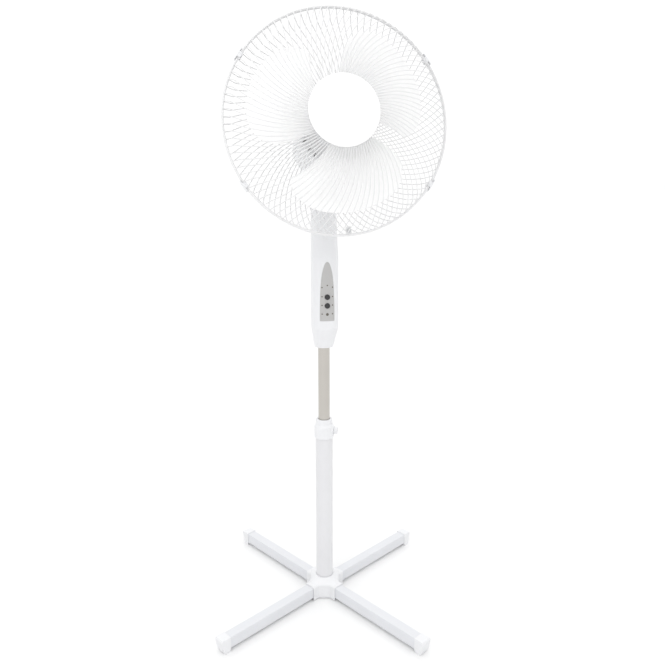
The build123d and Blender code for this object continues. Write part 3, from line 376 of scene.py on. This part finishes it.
def makeWireTree():
    tree = bpy.data.node_groups.new("guardWireTree", "GeometryNodeTree")
    tree.interface.new_socket("Geometry", in_out="OUTPUT", socket_type="NodeSocketGeometry")
    addSocket(tree, "Count", "NodeSocketInt", 96)
    for name in ("Hub Radius", "Rim Radius", "Hub Level", "Rim Level", "Swirl", "Wire Radius"):
        addSocket(tree, name, "NodeSocketFloat", 0.1)
    addSocket(tree, "Steps", "NodeSocketInt", 14)
    addSocket(tree, "Sides", "NodeSocketInt", 6)
    addSocket(tree, "Finish", "NodeSocketMaterial", None)
    source = tree.nodes.new("NodeGroupInput").outputs
    line = tree.nodes.new("GeometryNodeCurvePrimitiveLine")
    cut = tree.nodes.new("GeometryNodeResampleCurve")
    tree.links.new(line.outputs["Curve"], cut.inputs["Curve"])
    tree.links.new(source["Steps"], cut.inputs["Count"])
    along = tree.nodes.new("GeometryNodeSplineParameter").outputs["Factor"]
    reach = mathNode(tree, "SUBTRACT", source["Rim Radius"], source["Hub Radius"])
    radius = mathNode(tree, "ADD", mathNode(tree, "MULTIPLY", reach, along), source["Hub Radius"])

    def domeHeight(at):
        share = mathNode(tree, "POWER", mathNode(tree, "DIVIDE", at, source["Rim Radius"]), 3.0)
        return mathNode(tree, "POWER", mathNode(tree, "SUBTRACT", 1.0, share), 0.5)

    share = mathNode(tree, "DIVIDE", domeHeight(radius), domeHeight(source["Hub Radius"]))
    depth = mathNode(tree, "SUBTRACT", source["Hub Level"], source["Rim Level"])
    rise = mathNode(tree, "MULTIPLY", depth, share)
    level = mathNode(tree, "ADD", rise, source["Rim Level"])
    turned = mathNode(tree, "MULTIPLY", source["Swirl"], mathNode(tree, "SUBTRACT", 1.0, along))
    spot = tree.nodes.new("ShaderNodeCombineXYZ")
    tree.links.new(mathNode(tree, "MULTIPLY", radius, mathNode(tree, "COSINE", turned)), spot.inputs["X"])
    tree.links.new(mathNode(tree, "MULTIPLY", radius, mathNode(tree, "SINE", turned)), spot.inputs["Y"])
    tree.links.new(level, spot.inputs["Z"])
    move = tree.nodes.new("GeometryNodeSetPosition")
    tree.links.new(cut.outputs["Curve"], move.inputs["Geometry"])
    tree.links.new(spot.outputs["Vector"], move.inputs["Position"])
    section = tree.nodes.new("GeometryNodeCurvePrimitiveCircle")
    tree.links.new(source["Sides"], section.inputs["Resolution"])
    tree.links.new(source["Wire Radius"], section.inputs["Radius"])
    tube = tree.nodes.new("GeometryNodeCurveToMesh")
    tube.inputs["Fill Caps"].default_value = True
    tree.links.new(move.outputs["Geometry"], tube.inputs["Curve"])
    tree.links.new(section.outputs["Curve"], tube.inputs["Profile Curve"])
    places = tree.nodes.new("GeometryNodePoints")
    tree.links.new(source["Count"], places.inputs["Count"])
    each = tree.nodes.new("GeometryNodeInputIndex").outputs["Index"]
    angle = tree.nodes.new("ShaderNodeCombineXYZ")
    step = mathNode(tree, "DIVIDE", 2 * pi, source["Count"])
    shifted = mathNode(tree, "ADD", each, 0.5)  # clips and lugs sit between two wires
    tree.links.new(mathNode(tree, "MULTIPLY", shifted, step), angle.inputs["Z"])
    copies = tree.nodes.new("GeometryNodeInstanceOnPoints")
    tree.links.new(places.outputs[0], copies.inputs["Points"])
    tree.links.new(tube.outputs["Mesh"], copies.inputs["Instance"])
    tree.links.new(angle.outputs["Vector"], copies.inputs["Rotation"])
    solid = tree.nodes.new("GeometryNodeRealizeInstances")
    smooth = tree.nodes.new("GeometryNodeSetShadeSmooth")
    paint = tree.nodes.new("GeometryNodeSetMaterial")
    tree.links.new(source["Finish"], paint.inputs["Material"])
    end = tree.nodes.new("NodeGroupOutput")
    tree.links.new(copies.outputs["Instances"], solid.inputs["Geometry"])
    tree.links.new(solid.outputs["Geometry"], smooth.inputs["Geometry"])
    tree.links.new(smooth.outputs["Geometry"], paint.inputs["Geometry"])
    tree.links.new(paint.outputs["Geometry"], end.inputs["Geometry"])
    return tree


def growPiece(name, tree, values):
    # runs a node tree with its inputs given by name, and returns the plain mesh
    holder = bpy.data.objects.new(name, bpy.data.meshes.new(name))
    bpy.context.scene.collection.objects.link(holder)
    modifier = holder.modifiers.new("grow", "NODES")
    modifier.node_group = tree
    for socket in tree.interface.items_tree:
        if socket.in_out == "INPUT" and socket.name in values:
            modifier[socket.identifier] = values[socket.name]
    mesh = bakeModifiers(holder)
    bpy.data.objects.remove(holder)
    mesh.name = name
    return mesh


wireTree = makeWireTree()
for name, facts in guards.items():
    values = {
        "Count": guardWire["count"],
        "Hub Radius": facts["ring"] / 1000,
        "Rim Radius": guardWire["rim"] / 1000,
        "Hub Level": facts["ringLevel"] / 1000,
        "Rim Level": facts["rimLevel"] / 1000,
        "Swirl": radians(facts["swirl"]),
        "Wire Radius": guardWire["radius"] / 1000,
        "Steps": guardWire["steps"],
        "Sides": guardWire["sides"],
        "Finish": materials["white_wire"],
    }
    mesh = growPiece(name, wireTree, values)
    mesh.transform(fanMatrix)
    addPiece(name, mesh, "head", "white_wire", facts["node"])
print("guard wires", 2 * guardWire["count"])


# blade: three wide petals, cupped and twisted, on a hub with a rounded nose
blade = {
    "level": 184,
    "hub": (  # radius and level of each corner of the hub's section
        (4.2, 164),
        (4.2, 204),
        (31, 204),
        (36, 199),
        (36, 164),
        (33.5, 164),
        (33.5, 198),
        (8, 200),
        (8, 164),
    ),
    "hubRounding": 3,
    "hubSides": 72,
    "petals": 3,
    "thickness": 2.2,
    "edge": 0.8,
    "rootPitch": 24,
    "tipPitch": 13,
    "cup": 5,
    "firstTurn": 37,
    "lowEdge": ((33, -24), (55, -31), (78, -37), (104, -43), (130, -47), (151, -38)),
    "highEdge": ((33, 44), (55, 50), (80, 51), (106, 49), (130, 45), (150, 37)),
    "tipEdge": ((151, -38), (160, -24), (162, 0), (160, 25), (150, 37)),
    "steps": 26,
}


def along(points, share):
    # a smooth curve through the points, Catmull-Rom
    place = share * (len(points) - 1)
    index = min(int(place), len(points) - 2)
    t = place - index
    before = Vector(points[max(index - 1, 0)])
    start = Vector(points[index])
    end = Vector(points[index + 1])
    after = Vector(points[min(index + 2, len(points) - 1)])
    return 0.5 * (2 * start + (end - before) * t + (2 * before - 5 * start + 4 * end - after) * t * t
                  + (3 * start - before - 3 * end + after) * t * t * t)


def petalPoint(out, across):
    low = along(blade["lowEdge"], out)
    high = along(blade["highEdge"], out)
    root = Vector(blade["lowEdge"][0]).lerp(Vector(blade["highEdge"][0]), across)
    tip = along(blade["tipEdge"], across)
    cornerMix = Vector(blade["lowEdge"][0]).lerp(Vector(blade["highEdge"][0]), across) * (1 - out)
    cornerMix += Vector(blade["lowEdge"][-1]).lerp(Vector(blade["highEdge"][-1]), across) * out
    radius, turned = low.lerp(high, across) + root.lerp(tip, out) - cornerMix
    pitch = radians(blade["rootPitch"] + (blade["tipPitch"] - blade["rootPitch"]) * out ** 0.7)
    level = blade["level"] - 1.1 + radius * sin(radians(turned)) * sin(pitch)
    level += blade["cup"] * (1 - (2 * across - 1) ** 2) * sin(pi * min(1, out + 0.15)) - blade["cup"] / 2
    return radius, turned, level


def makePetals():
    mesh = bmesh.new()
    steps = blade["steps"]
    for petal in range(blade["petals"]):
        rows = []
        for i in range(steps + 1):
            row = []
            for k in range(steps + 1):
                radius, turned, level = petalPoint(i / steps, k / steps)
                angle = radians(blade["firstTurn"] + 360 / blade["petals"] * petal + turned)
                row.append(mesh.verts.new((radius * cos(angle), radius * sin(angle), level)))
            rows.append(row)
        for i in range(steps):
            for k in range(steps):
                mesh.faces.new((rows[i][k], rows[i + 1][k], rows[i + 1][k + 1], rows[i][k + 1]))
    done = bpy.data.meshes.new("bladePetals")
    mesh.normal_update()
    mesh.to_mesh(done)
    mesh.free()
    done.transform(fanMatrix @ Matrix.Scale(0.001, 4))
    return done


def roundPetals(piece):
    wall = piece.modifiers.new("wall", "SOLIDIFY")
    wall.thickness = blade["thickness"] / 1000
    wall.offset = 0
    edge = piece.modifiers.new("edge", "BEVEL")
    edge.width = blade["edge"] / 1000
    edge.segments = 2
    edge.limit_method = "ANGLE"
    bakeModifiers(piece)
    piece.data.materials.clear()
    piece.data.materials.append(materials["blade_plastic"])
    piece.data.polygons.foreach_set("use_smooth", [True] * len(piece.data.polygons))


petals = addPiece("bladePetals", makePetals(), "blade_spin", "blade_plastic", "blade")
roundPetals(petals)


def spinForm(name, profile, sides, body, slotName, *replaced):
    # a closed profile of (radius, level) in millimetres turned round the fan's axis
    mesh = bmesh.new()
    rings = []
    for radius, level in profile:
        count = sides if radius > 0 else 1
        rings.append([
            mesh.verts.new((radius * cos(2 * pi * n / sides), radius * sin(2 * pi * n / sides), level))
            for n in range(count)
        ])
    for ring, following in zip(rings, rings[1:] + rings[:1]):
        for n in range(sides):
            m = (n + 1) % sides
            corners = [ring[n % len(ring)], ring[m % len(ring)]]
            corners += [following[m % len(following)], following[n % len(following)]]
            corners = list(dict.fromkeys(corners))  # a pole's face has three corners
            if len(corners) > 2:
                mesh.faces.new(corners)
    bmesh.ops.recalc_face_normals(mesh, faces=mesh.faces)
    done = bpy.data.meshes.new(name)
    mesh.to_mesh(done)
    mesh.free()
    done.transform(fanMatrix @ Matrix.Scale(0.001, 4))
    done.polygons.foreach_set("use_smooth", [True] * len(done.polygons))
    return addPiece(name, done, body, slotName, *replaced)


def roundedProfile(corners, radius, steps=5):
    # replaces each corner of a closed outline by a small arc
    outline = []
    count = len(corners)
    for index in range(count):
        here = Vector(corners[index])
        before = Vector(corners[index - 1]) - here
        after = Vector(corners[(index + 1) % count]) - here
        cut = min(radius, before.length * 0.45, after.length * 0.45)
        if here.x == 0:
            outline.append(tuple(here))
            continue
        start = here + before.normalized() * cut
        end = here + after.normalized() * cut
        for n in range(steps + 1):
            t = n / steps
            outline.append(tuple(start * (1 - t) ** 2 + here * 2 * t * (1 - t) + end * t * t))
    return outline


hubProfile = roundedProfile(blade["hub"], blade["hubRounding"])
spinForm("bladeHub", hubProfile, blade["hubSides"], "blade_spin", "blade_plastic")
print("blade petals", blade["petals"])


# floor
floorMesh = bpy.data.meshes.new("floor")
half = studio["floorSize"] / 2
floorCorners = [(-half, -half, 0), (half, -half, 0), (half, half, 0), (-half, half, 0)]
floorMesh.from_pydata(floorCorners, [], [(0, 1, 2, 3)])
floor = bpy.data.objects.new("floor", floorMesh)
bpy.context.scene.collection.objects.link(floor)
floorMesh.materials.append(makeFinish("floor_paper", (0.86, 0.86, 0.86), 0.003, 0.7, 0.05, 0.02, 300))
